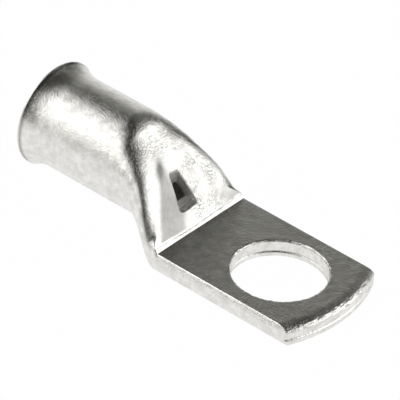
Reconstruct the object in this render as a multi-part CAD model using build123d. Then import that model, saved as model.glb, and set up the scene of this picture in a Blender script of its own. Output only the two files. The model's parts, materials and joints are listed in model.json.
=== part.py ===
from build123d import *
import math
import os

# Tubular compression cable lug: one length of copper tube, belled at the cable end and
# pressed flat at the other, where a hole takes the stud of a terminal.
#
# Millimetres. The origin is the centre of the stud hole on the palm's underside, +X points
# to the palm's tip and +Z is up, away from the face that is bolted down. A name ending in
# _back is a distance behind the stud hole, towards the cable.

# Palm: the pressed end, both tube walls closed on each other
stud_hole_diameter = 10.5
palm_width = 14.7
palm_thickness = 2.2
palm_back = 11.0             # press line across the palm
palm_front = 8.6             # tip, in front of the stud hole
tip_radius = 18.0
tip_top_rounding = 0.5
tip_bottom_rounding = 0.15
hole_top_chamfer = 0.2       # the punch's side of the stud hole
hole_bottom_chamfer = 0.15   # and the side where it came out
side_bulge = 0.32            # how far the folded sides stand out past the flat faces
blank_margin = 2.0           # the blank of the tip is this much wider on each side

# Barrel: the round tube that takes the cable
barrel_diameter = 10.8
wall_thickness = 1.2
barrel_axis_height = 6.23
mouth_back = 32.4

# Bell mouth
flare_length = 2.9
flare_growth = 0.85          # added to the radius at the mouth
lip_chamfer = 0.2            # both edges of the mouth, so that the strands slide in

# Pressed transition between the barrel and the palm
ramp_angle = 46.0
riser_height = 0.5           # short step that the press leaves across the palm
riser_lean = 0.38
shoulder_radius = 3.2        # bend of the crown where the ramp leaves the barrel
flat_at_barrel = 0.8         # half width of the flat on top where the ramp starts
widening_back = 17.8         # the sides leave the barrel's width here
widening_front_back = 11.3   # and reach the palm's width here
widest_lift = 0.15           # rise of the widest point, as a share of the section's height
ridge_fullness = 0.15        # how much fuller than an ellipse the ridges beside the ramp are
ridge_rise = 0.75            # how far the ramp swells above a straight slope
ridge_skew = 1.45            # above 1 the swelling is fullest nearer to the palm
ridge_set_back = 0.9         # how far the ridges' rounding eats into the flat between them
sinking = 0.35               # the crown sinks along its middle, beside the sight hole
sinking_at_foot = 0.65       # share of the sinking that is left at the riser
sharpest_corner = 0.2        # least room between a flat and the section's side
steepest_crown = 0.6         # sine of the steepest fall of the crown
closed_slit = 0.15           # height at which the two walls count as closed
outer_section_count = 11
inner_section_count = 6

# Where the pressed section changes, as shares of the way from the barrel to the palm
round_until = 0.45
rounder_rise = (0, 0.3)
rounder_fall = (0.8, 1)
hump_rise = (0.08, 0.45)
hump_fall = (0.7, 1)
hollow_rise = (0.45, 0.75)
hollow_fall = (0.85, 1)

# Sight hole in the ramp, through the upper wall, which shows that the cable is home
sight_hole_front_back = 12.62
sight_hole_rear_back = 15.22
sight_hole_front_width = 2.65
sight_hole_rear_width = 1.2
sight_hole_corner = 0.22

# Seam where the two walls meet, open to view in the stud hole and along the tip
seam_height = 0.72
seam_gap = 0.12
seam_depth = 0.16

# Worked out from the sizes above
stud_hole_radius = stud_hole_diameter / 2
palm_half = palm_width / 2
palm_flat = palm_half - side_bulge
barrel_radius = barrel_diameter / 2
bore_radius = barrel_radius - wall_thickness
barrel_top = barrel_axis_height + barrel_radius
barrel_bottom = barrel_axis_height - barrel_radius
lean = math.radians(ramp_angle)
foot_back = palm_back + riser_lean
foot_height = palm_thickness + riser_height
apex_back = foot_back + (barrel_top - foot_height) / math.tan(lean)
transition_back = apex_back + shoulder_radius * math.tan(lean / 2)
closed_height = 2 * wall_thickness / math.cos(lean) + closed_slit + sinking
closed_back = foot_back + (closed_height - foot_height) / math.tan(lean)


def smooth(value, start, end):
    """Smooth step: 0 at start, 1 at end, level at both."""
    share = min(max((value - start) / (end - start), 0), 1)
    return share * share * (3 - 2 * share)


def crown_height(back, inset):
    """Height of the crown: level along the barrel, an arc at the shoulder, then the ramp.

    An inset gives the parallel line that far inside the metal.
    """
    arc_radius = shoulder_radius - inset
    arc_reach = transition_back - back
    if arc_reach < arc_radius * math.sin(lean):
        return barrel_top - shoulder_radius + math.sqrt(arc_radius ** 2 - arc_reach ** 2)
    return foot_height + (back - foot_back) * math.tan(lean) - inset / math.cos(lean)


def handle_share(turn):
    """Length of a Bezier handle that draws an arc of this turn, as a share of its radius."""
    return 4 / 3 * math.tan(turn / 4)


def half_section(top, bottom, side, top_flat, bottom_flat, sunk=0, lift=0, fuller=0, slope=0):
    """Right half of a section: crown, upper corner, lower corner and underside.

    The crown falls away from the middle at the given slope, or rises from it if it is sunk.
    """
    middle = bottom + (0.5 + lift) * (top - bottom)
    ridge = top - top_flat * math.tan(slope / 2)
    quarter = math.pi / 2
    upper = handle_share(quarter - slope) + fuller
    upper_wide = upper * (side - top_flat) / (1 - math.sin(slope))
    upper_tall = upper * (ridge - middle) / math.cos(slope)
    lower = handle_share(quarter)
    knee = top_flat * (1 + math.tan(slope / 2) ** 2) / 2
    return [
        Bezier((0, top - sunk), (knee, top - sunk / 2), (top_flat, ridge)),
        Bezier(
            (top_flat, ridge),
            (top_flat + upper_wide * math.cos(slope), ridge - upper_wide * math.sin(slope)),
            (side, middle + upper_tall),
            (side, middle),
        ),
        Bezier(
            (side, middle),
            (side, middle - lower * (middle - bottom)),
            (bottom_flat + lower * (side - bottom_flat), bottom),
            (bottom_flat, bottom),
        ),
        Line((bottom_flat, bottom), (0, bottom)),
    ]


def half_circle(radius, flat):
    """Right half of the round tube, divided where a pressed section ends its flat."""
    split = math.degrees(math.asin(flat / radius))
    centre = (0, barrel_axis_height)
    return [
        CenterArc(centre, radius, 90, -split),
        CenterArc(centre, radius, 90 - split, split - 90),
        CenterArc(centre, radius, 0, split - 90),
        CenterArc(centre, radius, split - 90, -split),
    ]


def section_face(back, half):
    """Face across the lug at a distance behind the stud hole, closed by mirroring."""
    plane = Plane((-back, 0, 0), x_dir=(0, 1, 0), z_dir=(1, 0, 0))
    other = [mirror(edge, about=Plane.YZ) for edge in half]
    return plane * make_face(half + other)


def pressed_half(back, inset=0):
    """Right half of the transition's section, on the outside or inset by the wall."""
    radius = barrel_radius - inset
    if back >= transition_back:
        return half_circle(radius, flat_at_barrel)
    share = (transition_back - back) / (transition_back - foot_back)
    widening = smooth(-back, -widening_back, -widening_front_back)
    grown = palm_flat - flat_at_barrel
    side = radius + widening * (palm_half - barrel_radius)
    sharpest = side - sharpest_corner
    rounder = smooth(share, *rounder_rise) * (1 - smooth(share, *rounder_fall))
    top_flat = min(flat_at_barrel + share * grown - ridge_set_back * rounder, sharpest)
    bottom_flat = min(flat_at_barrel + widening * grown, sharpest)
    hump = smooth(share, *hump_rise) * (1 - smooth(share, *hump_fall))
    hollow = smooth(share, *hollow_rise) * (1 - (1 - sinking_at_foot) * smooth(share, *hollow_fall))
    swelling = math.sin(math.pi * share ** ridge_skew) ** 2
    roundness = 1 - smooth(share, 0, round_until)
    return half_section(
        crown_height(back, inset) + ridge_rise * swelling,
        barrel_bottom * (1 - widening) + inset,
        side,
        top_flat,
        bottom_flat,
        sunk=sinking * hollow,
        lift=widest_lift * hump,
        fuller=ridge_fullness * hump,
        slope=roundness * math.asin(min(top_flat / radius, steepest_crown)),
    )


def spaced(first, last, count):
    """Evenly spaced places, both ends included."""
    return [first + (last - first) * step / (count - 1) for step in range(count)]


def make_barrel():
    """Round tube and bell mouth, turned about the barrel's axis."""
    flare_arc = (flare_length ** 2 + flare_growth ** 2) / (2 * flare_growth)
    turn = math.degrees(math.asin(flare_length / flare_arc))
    flare_start = flare_length - mouth_back
    outer_arc = CenterArc((flare_start, barrel_radius + flare_arc), flare_arc, 270, -turn)
    inner_arc = CenterArc((flare_start, bore_radius + flare_arc), flare_arc, 270, -turn)
    outline = [
        Line((-transition_back, bore_radius), (-transition_back, barrel_radius)),
        Line((-transition_back, barrel_radius), outer_arc @ 0),
        outer_arc,
        Line(outer_arc @ 1, inner_arc @ 1),
        inner_arc,
        Line(inner_arc @ 0, (-transition_back, bore_radius)),
    ]
    profile = make_face(outline)
    profile = chamfer(profile.vertices().group_by(Axis.X)[0], lip_chamfer)
    return Pos(0, 0, barrel_axis_height) * revolve(Plane.XZ * profile, Axis.X)


def make_transition():
    """Pressed length: sections that close from the round tube to the flat palm."""
    outer_places = spaced(transition_back, foot_back, outer_section_count)
    inner_places = spaced(transition_back, closed_back, inner_section_count)
    outside = loft([section_face(back, pressed_half(back)) for back in outer_places])
    inside = loft([section_face(back, pressed_half(back, wall_thickness)) for back in inner_places])
    return outside - inside


def make_riser():
    """Steep little step between the ramp's foot and the palm."""
    foot = section_face(foot_back, pressed_half(foot_back))
    return loft([foot, palm_section(palm_back)], ruled=True)


def palm_section(back):
    """Face across the palm: flat above and below, folded sides bulging out."""
    return section_face(back, half_section(palm_thickness, 0, palm_half, palm_flat, palm_flat))


def tip_plate(bottom, top, half_width, set_back=0):
    """Plate in the palm's outline whose arc-shaped tip can be set back from the real one."""
    corner = palm_front - tip_radius + math.sqrt(tip_radius ** 2 - half_width ** 2)
    arc = ThreePointArc((corner, -half_width), (palm_front, 0), (corner, half_width))
    outline = [
        arc,
        Line(arc @ 1, (-palm_back, half_width)),
        Line((-palm_back, half_width), (-palm_back, -half_width)),
        Line((-palm_back, -half_width), arc @ 0),
    ]
    return Pos(-set_back, 0, bottom) * extrude(make_face(outline), top - bottom)


def make_palm():
    """Flat end with its arc-shaped tip, rounded there on both faces."""
    bar = loft([palm_section(palm_back), palm_section(-palm_front)], ruled=True)
    blank = tip_plate(0, palm_thickness, palm_half + blank_margin)
    blank = fillet(tip_edge(blank, -1), tip_top_rounding)
    blank = fillet(tip_edge(blank, 0), tip_bottom_rounding)
    return bar & blank


def tip_edge(plate, place):
    """Arc along the plate's tip: place 0 is the lowest one and -1 the highest."""
    return plate.edges().filter_by(GeomType.CIRCLE).sort_by(Axis.Z)[place]


def disc(radius, bottom, top):
    """Disc round the stud hole's axis between two heights."""
    standing = (Align.CENTER, Align.CENTER, Align.MIN)
    return Pos(0, 0, bottom) * Cylinder(radius, top - bottom, align=standing)


def stud_punch():
    """Turned tool for the stud hole, which widens to a chamfer at both faces of the palm."""
    outline = Polyline(
        (0, 0),
        (stud_hole_radius + hole_bottom_chamfer, 0),
        (stud_hole_radius, hole_bottom_chamfer),
        (stud_hole_radius, palm_thickness - hole_top_chamfer),
        (stud_hole_radius + hole_top_chamfer, palm_thickness),
        (0, palm_thickness),
        close=True,
    )
    return revolve(Plane.XZ * make_face(outline), Axis.Z)


def sight_hole():
    """Tapered punch for the sight hole, from inside the cavity to above the ramp."""
    front = -sight_hole_front_back
    rear = -sight_hole_rear_back
    outline = Polyline(
        (front, -sight_hole_front_width / 2),
        (front, sight_hole_front_width / 2),
        (rear, sight_hole_rear_width / 2),
        (rear, -sight_hole_rear_width / 2),
        close=True,
    )
    floor = wall_thickness + closed_slit
    punch = Pos(0, 0, floor) * extrude(make_face(outline), barrel_top - floor)
    return fillet(punch.edges().filter_by(Axis.Z), sight_hole_corner)


def seam_grooves():
    """Fine open seams between the two walls, round the stud hole and along the tip."""
    bottom = seam_height - seam_gap / 2
    top = seam_height + seam_gap / 2
    reach = palm_half - wall_thickness
    along_tip = tip_plate(bottom, top, reach) - tip_plate(bottom, top, reach, seam_depth)
    return [disc(stud_hole_radius + seam_depth, bottom, top), along_tip]


os.makedirs("parts", exist_ok=True)
lug = make_barrel() + make_transition() + make_riser() + make_palm()
lug -= stud_punch()
lug -= sight_hole()
for groove in seam_grooves():
    lug -= groove
export_step(lug, "parts/cable_lug.step")
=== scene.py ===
import json
import logging
import math
from dataclasses import dataclass, field
from enum import Enum

import bmesh
import bpy
import numpy as np
from mathutils import Matrix, Vector


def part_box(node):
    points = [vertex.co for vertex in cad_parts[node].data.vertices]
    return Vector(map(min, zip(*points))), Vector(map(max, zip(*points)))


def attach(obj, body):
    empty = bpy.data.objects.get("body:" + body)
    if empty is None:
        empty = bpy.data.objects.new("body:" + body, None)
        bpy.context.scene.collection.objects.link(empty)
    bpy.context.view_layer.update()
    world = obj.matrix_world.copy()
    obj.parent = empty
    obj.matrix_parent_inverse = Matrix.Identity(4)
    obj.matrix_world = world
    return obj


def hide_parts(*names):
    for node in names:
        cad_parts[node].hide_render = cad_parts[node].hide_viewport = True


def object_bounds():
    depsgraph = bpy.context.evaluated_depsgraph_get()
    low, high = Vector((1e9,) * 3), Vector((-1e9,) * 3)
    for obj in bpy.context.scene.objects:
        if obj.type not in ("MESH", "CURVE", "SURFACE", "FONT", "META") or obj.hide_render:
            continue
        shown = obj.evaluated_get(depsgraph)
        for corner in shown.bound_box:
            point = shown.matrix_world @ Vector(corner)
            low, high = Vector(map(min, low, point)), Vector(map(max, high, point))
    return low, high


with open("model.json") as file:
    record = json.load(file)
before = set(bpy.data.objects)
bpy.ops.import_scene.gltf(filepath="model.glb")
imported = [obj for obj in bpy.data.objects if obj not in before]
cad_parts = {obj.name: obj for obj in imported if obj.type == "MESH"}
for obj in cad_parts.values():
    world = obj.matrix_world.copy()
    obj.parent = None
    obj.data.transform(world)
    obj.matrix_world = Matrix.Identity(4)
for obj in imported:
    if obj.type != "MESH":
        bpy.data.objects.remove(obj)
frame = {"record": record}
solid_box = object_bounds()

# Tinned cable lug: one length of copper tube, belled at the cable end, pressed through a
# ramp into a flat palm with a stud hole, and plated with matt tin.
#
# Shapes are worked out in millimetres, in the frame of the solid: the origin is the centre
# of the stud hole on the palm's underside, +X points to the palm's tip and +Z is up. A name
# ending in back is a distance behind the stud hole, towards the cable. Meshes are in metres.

MILLIMETRE = 0.001
NODE = "cable_lug"
BODY = "root"

log = logging.getLogger("lug")


def smooth(value: np.ndarray, start: float, end: float) -> np.ndarray:
    """Smooth step, level at both ends.

    Formula: with s the share of the way from start to end, s squared times (3 - 2 s).

    Args:
        value: Places at which the step is wanted.
        start: Place where the step is 0.
        end: Place where the step is 1.

    Returns:
        The step's height at each place.
    """
    share = np.clip((value - start) / (end - start), 0.0, 1.0)
    return share * share * (3.0 - 2.0 * share)


def joined(*stretches: np.ndarray) -> np.ndarray:
    """Stretches laid end to end, without the places that two neighbours share."""
    parts = [stretches[0]] + [stretch[1:] for stretch in stretches[1:]]
    return np.concatenate(parts)


def bell(offset: np.ndarray, width: float) -> np.ndarray:
    """Bell curve, 1 at no offset: the exponential of minus (offset / width) squared."""
    return np.exp(-((offset / width) ** 2))


def with_height(plan: np.ndarray, height: np.ndarray) -> np.ndarray:
    """Plan places, rows by columns by 2, with the height of each row added."""
    column = np.broadcast_to(height[:, None, None], plan.shape[:2] + (1,))
    return np.concatenate([plan, column], axis=2)


def cubic(points: tuple, share: np.ndarray) -> np.ndarray:
    """One coordinate of a cubic Bezier curve.

    Formula: the four control values weighted by the cubic Bernstein polynomials.

    Args:
        points: The four control values, each one a number or an array.
        share: Places along the curve, from 0 to 1.

    Returns:
        The coordinate at each place.
    """
    rest = 1.0 - share
    first, second, third, last = points
    return (
        first * rest ** 3
        + second * 3.0 * share * rest ** 2
        + third * 3.0 * share ** 2 * rest
        + last * share ** 3
    )


def handle_share(turn: np.ndarray) -> np.ndarray:
    """Length of a Bezier handle that draws an arc of this turn, as a share of its radius."""
    return 4.0 / 3.0 * np.tan(turn / 4.0)


@dataclass(frozen=True)
class LugSizes:
    """Sizes of the lug in millimetres, angles in degrees; the first six come from the frame."""

    stud_hole_radius: float
    bore_radius: float
    barrel_axis_height: float
    palm_half: float
    palm_front: float
    mouth_back: float
    wall: float = 1.2
    palm_thickness: float = 2.2
    palm_back: float = 11.0
    side_bulge: float = 0.32
    tip_radius: float = 18.0
    tip_top_rounding: float = 0.62
    tip_top_spread: float = 1.5
    tip_bottom_rounding: float = 0.15
    tip_corner_rounding: float = 0.3
    hole_rim_rounding: float = 0.28
    flare_length: float = 2.9
    flare_growth: float = 0.85
    lip_rounding: float = 0.25
    ramp_angle: float = 46.0
    riser_height: float = 0.5
    riser_lean: float = 0.38
    shoulder_radius: float = 3.2
    flat_at_barrel: float = 0.8
    widening_back: float = 17.8
    widening_front_back: float = 11.3
    widest_lift: float = 0.15
    ridge_fullness: float = 0.15
    ridge_rise: float = 0.75
    ridge_skew: float = 1.45
    ridge_set_back: float = 1.25
    facet_slope: float = 0.1
    facet_apex_back: float = 16.4
    facet_apex_across: float = -1.37
    facet_spread: float = 0.96
    facet_rounding: float = 0.45
    crease_rounding: float = 0.8
    crease_across: float = -0.6
    crease_drift: float = -1.0
    hollow_reach: float = 0.95
    hollow_foot_share: float = 0.5
    closed_sinking: float = 0.35
    closed_slit: float = 0.15
    sight_hole_front_back: float = 12.62
    sight_hole_rear_back: float = 15.22
    sight_hole_front_width: float = 2.65
    sight_hole_rear_width: float = 1.2
    sight_hole_offset: float = -0.2
    sight_hole_point: float = 0.12
    sight_hole_corner: float = 0.22
    sight_hole_rim: float = 0.12
    sight_hole_ledge: float = 1.4
    seam_height: float = 0.72
    seam_gap: float = 0.12
    seam_depth: float = 0.16

    @classmethod
    def from_frame(cls) -> "LugSizes":
        """Sizes with the stud hole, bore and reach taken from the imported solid.

        Returns:
            The sizes in millimetres.
        """
        mounts = {mount["name"]: mount for mount in frame["record"]["mounts"]}
        lowest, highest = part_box(NODE)
        return cls(
            stud_hole_radius=mounts["stud_hole"]["dims"]["r_mm"],
            bore_radius=mounts["cable_barrel"]["dims"]["r_mm"],
            barrel_axis_height=mounts["cable_barrel"]["pos_m"][2] / MILLIMETRE,
            palm_half=highest.y / MILLIMETRE,
            palm_front=highest.x / MILLIMETRE,
            mouth_back=-lowest.x / MILLIMETRE,
        )

    @property
    def palm_flat(self) -> float:
        """Half width of the palm's flat faces."""
        return self.palm_half - self.side_bulge

    @property
    def barrel_radius(self) -> float:
        """Outside radius of the round tube."""
        return self.bore_radius + self.wall

    @property
    def barrel_top(self) -> float:
        """Height of the barrel's top."""
        return self.barrel_axis_height + self.barrel_radius

    @property
    def barrel_bottom(self) -> float:
        """Height of the barrel's underside."""
        return self.barrel_axis_height - self.barrel_radius

    @property
    def lean(self) -> float:
        """Ramp angle in radians."""
        return math.radians(self.ramp_angle)

    @property
    def foot_back(self) -> float:
        """Where the ramp ends on the riser."""
        return self.palm_back + self.riser_lean

    @property
    def foot_height(self) -> float:
        """Height of the ramp's foot."""
        return self.palm_thickness + self.riser_height

    @property
    def transition_back(self) -> float:
        """Where the pressed length leaves the round barrel."""
        apex = self.foot_back + (self.barrel_top - self.foot_height) / math.tan(self.lean)
        return apex + self.shoulder_radius * math.tan(self.lean / 2.0)

    @property
    def closed_back(self) -> float:
        """Where the two walls meet inside."""
        height = 2.0 * self.wall / math.cos(self.lean) + self.closed_slit + self.closed_sinking
        return self.foot_back + (height - self.foot_height) / math.tan(self.lean)

    @property
    def tip_centre(self) -> float:
        """X of the centre of the tip's arc."""
        return self.palm_front - self.tip_radius


class Sheet(Enum):
    """The two faces of the palm."""

    TOP = "top"
    UNDERSIDE = "underside"


@dataclass
class MeshBoard:
    """Grids of points gathered into one mesh."""

    points: list = field(default_factory=list)
    quads: list = field(default_factory=list)
    dull_and_shade: list = field(default_factory=list)
    rubbed_and_shaded: list = field(default_factory=list)
    count: int = 0

    def add(
        self,
        grid: np.ndarray,
        closed: bool = False,
        window: tuple | None = None,
        depth: float | np.ndarray = 0.0,
        rubbed_and_shaded: float | np.ndarray = 0.0,
    ) -> None:
        """Adds a grid of points as quads.

        Args:
            grid: Points, rows by columns by 3, in millimetres.
            closed: Whether the last column joins the first.
            window: First and last row and first and last column of an opening, or None.
            depth: Share of painted shade and of dullness inside the tube and the sight hole, from 0
                outside to 1.
            rubbed_and_shaded: How smoothly the press has rubbed the surface, and the share of
                painted shade there, from 0 to 1.
        """
        rows, columns = grid.shape[:2]
        number = self.count + np.arange(rows * columns).reshape(rows, columns)
        if closed:
            number = np.concatenate([number, number[:, :1]], axis=1)
        corners = [number[:-1, :-1], number[:-1, 1:], number[1:, 1:], number[1:, :-1]]
        quads = np.stack(corners, axis=-1)
        kept = np.ones(quads.shape[:2], bool)
        if window:
            row_first, row_last, column_first, column_last = window
            kept[row_first:row_last, column_first:column_last] = False
        self.points.append(grid.reshape(-1, 3))
        self.dull_and_shade.append(np.broadcast_to(depth, (rows, columns)).ravel())
        self.rubbed_and_shaded.append(np.broadcast_to(rubbed_and_shaded, (rows, columns)).ravel())
        self.quads.append(quads[kept])
        self.count += rows * columns

    def build(self, name: str) -> bpy.types.Object:
        """Welds the grids into one closed mesh with outward faces.

        Args:
            name: Name of the new object.

        Returns:
            The object, linked to the scene, at the origin.
        """
        points = np.concatenate(self.points) * MILLIMETRE
        quads = np.concatenate(self.quads)
        mesh = bpy.data.meshes.new(name)
        mesh.from_pydata(points.tolist(), [], quads.tolist())
        for label, marks in ((INNER_DULL_AND_SHADE, self.dull_and_shade), (RUBBED_AND_SHADED, self.rubbed_and_shaded)):
            layer = mesh.attributes.new(label, "FLOAT", "POINT")
            layer.data.foreach_set("value", np.concatenate(marks).astype(np.float32))
        welded = bmesh.new()
        welded.from_mesh(mesh)
        bmesh.ops.remove_doubles(welded, verts=welded.verts, dist=WELD_DISTANCE)
        bmesh.ops.recalc_face_normals(welded, faces=welded.faces)
        log.info("%s: %d open edges", name, sum(not edge.is_manifold for edge in welded.edges))
        welded.to_mesh(mesh)
        welded.free()
        mesh.shade_smooth()
        mesh.set_sharp_from_angle(angle=SHARP_ANGLE)
        piece = bpy.data.objects.new(name, mesh)
        bpy.context.scene.collection.objects.link(piece)
        return piece


# Point attributes: painted shade and dullness inside, and rubbing with painted shade on the ramp.
INNER_DULL_AND_SHADE = "depth"
RUBBED_AND_SHADED = "rubbed_and_shaded"
WELD_DISTANCE = 1.0e-7
SHARP_ANGLE = math.radians(32.0)


@dataclass(frozen=True)
class Section:
    """Measures of a section across the pressed length, each one a column of values."""

    top: np.ndarray
    bottom: np.ndarray
    side: np.ndarray
    top_flat: np.ndarray
    bottom_flat: np.ndarray
    lift: np.ndarray
    fuller: np.ndarray
    top_slope: np.ndarray
    bottom_slope: np.ndarray

    @property
    def middle(self) -> np.ndarray:
        """Height of the widest point."""
        return self.bottom + (0.5 + self.lift) * (self.top - self.bottom)

    def crown(self, share: np.ndarray) -> tuple:
        """Top of the section, between its two ridges.

        Formula: on each half, a quadratic Bezier curve from the middle to the ridge.

        Args:
            share: Place across, from -1 at one ridge to 1 at the other.

        Returns:
            The places across and the heights.
        """
        out = np.abs(share)
        ridge = self.top - self.top_flat * np.tan(self.top_slope / 2.0)
        knee = self.top_flat * (1.0 + np.tan(self.top_slope / 2.0) ** 2) / 2.0
        across = 2.0 * out * (1.0 - out) * knee + out ** 2 * self.top_flat
        height = (1.0 - out ** 2) * self.top + out ** 2 * ridge
        return np.sign(share) * across, height

    def upper(self, share: np.ndarray) -> tuple:
        """Upper corner, from the ridge down to the widest point.

        Formula: a cubic Bezier curve that leaves the ridge at the crown's slope and ends upright.

        Args:
            share: Place along the corner, from 0 at the ridge to 1.

        Returns:
            The places across and the heights.
        """
        ridge = self.top - self.top_flat * np.tan(self.top_slope / 2.0)
        reach = handle_share(math.pi / 2.0 - self.top_slope) + self.fuller
        wide = reach * (self.side - self.top_flat) / (1.0 - np.sin(self.top_slope))
        tall = reach * (ridge - self.middle) / np.cos(self.top_slope)
        across = (
            self.top_flat,
            self.top_flat + wide * np.cos(self.top_slope),
            self.side,
            self.side,
        )
        height = (
            ridge,
            ridge - wide * np.sin(self.top_slope),
            self.middle + tall,
            self.middle,
        )
        return cubic(across, share), cubic(height, share)

    def lower(self, share: np.ndarray) -> tuple:
        """Lower corner, from the widest point down to the underside's edge.

        Formula: a cubic Bezier curve, upright at the widest point.

        Args:
            share: Place along the corner, from 0 at the widest point to 1.

        Returns:
            The places across and the heights.
        """
        keel = self.bottom + self.bottom_flat * np.tan(self.bottom_slope / 2.0)
        reach = handle_share(math.pi / 2.0 - self.bottom_slope)
        wide = reach * (self.side - self.bottom_flat) / (1.0 - np.sin(self.bottom_slope))
        tall = reach * (self.middle - keel) / np.cos(self.bottom_slope)
        across = (
            self.side,
            self.side,
            self.bottom_flat + wide * np.cos(self.bottom_slope),
            self.bottom_flat,
        )
        height = (
            self.middle,
            self.middle - tall,
            keel + wide * np.sin(self.bottom_slope),
            keel,
        )
        return cubic(across, share), cubic(height, share)

    def underside(self, share: np.ndarray) -> tuple:
        """Bottom of the section, between its two lower edges.

        Formula: on each half, a quadratic Bezier curve from the middle to the edge.

        Args:
            share: Place across, from -1 to 1.

        Returns:
            The places across and the heights.
        """
        out = np.abs(share)
        keel = self.bottom + self.bottom_flat * np.tan(self.bottom_slope / 2.0)
        knee = self.bottom_flat * (1.0 + np.tan(self.bottom_slope / 2.0) ** 2) / 2.0
        across = 2.0 * out * (1.0 - out) * knee + out ** 2 * self.bottom_flat
        height = (1.0 - out ** 2) * self.bottom + out ** 2 * keel
        return np.sign(share) * across, height


@dataclass(frozen=True)
class Spacing:
    """How finely the surfaces are divided."""

    crown: int = 24
    corner_upper: int = 30
    corner_lower: int = 18
    window: int = 14
    window_rows: int = 44
    side: int = 64
    corner: int = 6
    tip: int = 64
    radial: int = 14

    @property
    def crown_shares(self) -> np.ndarray:
        """Places across the crown or the underside, from -1 to 1."""
        return np.linspace(-1.0, 1.0, 2 * self.crown + 1)


@dataclass(frozen=True)
class TubeWall:
    """One skin of the tube, outside or inside, from the palm to the mouth."""

    sizes: LugSizes
    spacing: Spacing
    inset: float = 0.0

    def crown_height(self, back: np.ndarray) -> np.ndarray:
        """Height of the crown: level along the barrel, an arc at the shoulder, then the ramp.

        Args:
            back: Distances behind the stud hole.

        Returns:
            The height at each.
        """
        sizes = self.sizes
        radius = sizes.shoulder_radius - self.inset
        reach = np.clip(sizes.transition_back - back, 0.0, None)
        arc = np.sqrt(np.clip(radius ** 2 - reach ** 2, 0.0, None))
        shoulder = sizes.barrel_top - sizes.shoulder_radius + arc
        ramp = (
            sizes.foot_height
            + (back - sizes.foot_back) * math.tan(sizes.lean)
            - self.inset / math.cos(sizes.lean)
        )
        return np.where(reach < radius * math.sin(sizes.lean), shoulder, ramp)

    def section(self, back: np.ndarray) -> Section:
        """Measures of the pressed length's sections.

        Args:
            back: Distances behind the stud hole.

        Returns:
            The sections, round where the tube isn't pressed.
        """
        sizes = self.sizes
        radius = sizes.barrel_radius - self.inset
        length = sizes.transition_back - sizes.foot_back
        share = np.clip((sizes.transition_back - back) / length, 0.0, 1.0)
        widening = smooth(-back, -sizes.widening_back, -sizes.widening_front_back)
        grown = sizes.palm_flat - sizes.flat_at_barrel
        side = radius + widening * (sizes.palm_half - sizes.barrel_radius)
        sharpest = side - SHARPEST_CORNER
        rounder = smooth(share, *ROUNDER_RISE) * (1.0 - smooth(share, *ROUNDER_FALL))
        top_flat = sizes.flat_at_barrel + share * grown
        top_flat = np.minimum(top_flat - sizes.ridge_set_back * rounder, sharpest)
        bottom_flat = np.minimum(sizes.flat_at_barrel + widening * grown, sharpest)
        hump = smooth(share, *HUMP_RISE) * (1.0 - smooth(share, *HUMP_FALL))
        ridges = np.sin(math.pi * share ** sizes.ridge_skew) ** 2
        roundness = 1.0 - smooth(share, 0.0, ROUND_UNTIL)
        return Section(
            top=self.crown_height(back) + sizes.ridge_rise * ridges,
            bottom=sizes.barrel_bottom * (1.0 - widening) + self.inset,
            side=side,
            top_flat=top_flat,
            bottom_flat=bottom_flat,
            lift=sizes.widest_lift * hump,
            fuller=sizes.ridge_fullness * hump,
            top_slope=roundness * np.arcsin(np.minimum(top_flat / radius, STEEPEST_SINE)),
            bottom_slope=(1.0 - widening) ** 2
            * np.arcsin(np.minimum(bottom_flat / radius, STEEPEST_SINE)),
        )

    def rings(self, section: Section, back: np.ndarray) -> np.ndarray:
        """Closed loops of points across the lug.

        Formula: crown, upper corner, lower corner, underside, and the two corners of the
        other side, one after the other, stretched round the axis where the mouth is belled.

        Args:
            section: The sections, one for each distance.
            back: Distances behind the stud hole, as a column.

        Returns:
            Points, one row for each loop.
        """
        crown_shares = self.spacing.crown_shares
        upper_shares = np.linspace(0.0, 1.0, self.spacing.corner_upper + 1)[:-1]
        lower_shares = np.linspace(0.0, 1.0, self.spacing.corner_lower + 1)[:-1]
        right = [section.upper(upper_shares), section.lower(lower_shares)]
        far_lower = section.lower(1.0 - lower_shares)
        far_upper = section.upper(1.0 - upper_shares)
        left = [(-far_lower[0], far_lower[1]), (-far_upper[0], far_upper[1])]
        stretches = [
            section.crown(crown_shares[:-1]),
            *right,
            section.underside(crown_shares[::-1][:-1]),
            *left,
        ]
        across = np.concatenate([stretch[0] for stretch in stretches], axis=1)
        height = np.concatenate([stretch[1] for stretch in stretches], axis=1)
        crown = slice(0, len(crown_shares) - 1)
        height[:, crown] -= self.hollow(back, across[:, crown], section.top_flat)
        return self.belled(across, height, back)

    def hollow(self, back: np.ndarray, across: np.ndarray, flat: np.ndarray) -> np.ndarray:
        """Depth of the hollow pressed into the ramp round the sight hole.

        Formula: on the near side a plane that falls from the facet's edge to the crease, with
        its edge rounded as half of (d + sqrt(d squared + r squared)); on the far side the
        crease's depth times the square of the share of the way that is left to the ridge. The
        crease is rounded in the same way.

        Args:
            back: Distances behind the stud hole.
            across: Places across.
            flat: Half width of the crown at each distance.

        Returns:
            The depth at each place.
        """
        sizes = self.sizes
        edge, crease = self.facet_edges(back)
        turn = np.sqrt((across - crease) ** 2 + sizes.crease_rounding ** 2)
        inward = (across + crease - turn) / 2.0 - edge
        beyond = (across + crease + turn) / 2.0
        rounded = (inward + np.sqrt(inward ** 2 + sizes.facet_rounding ** 2)) / 2.0
        outer = sizes.hollow_reach * flat
        left = np.clip((outer - beyond) / (outer - crease), 0.0, 1.0)
        near_ridge = np.clip((across + flat) / sizes.facet_rounding, 0.0, 1.0)
        rear = 1.0 - smooth(back, *HOLLOW_REAR)
        least = sizes.hollow_foot_share
        foot = least + (1.0 - least) * smooth(back, *HOLLOW_FOOT)
        pressed = back > sizes.palm_back
        return sizes.facet_slope * rounded * left ** 2 * near_ridge * rear * foot * pressed

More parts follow.
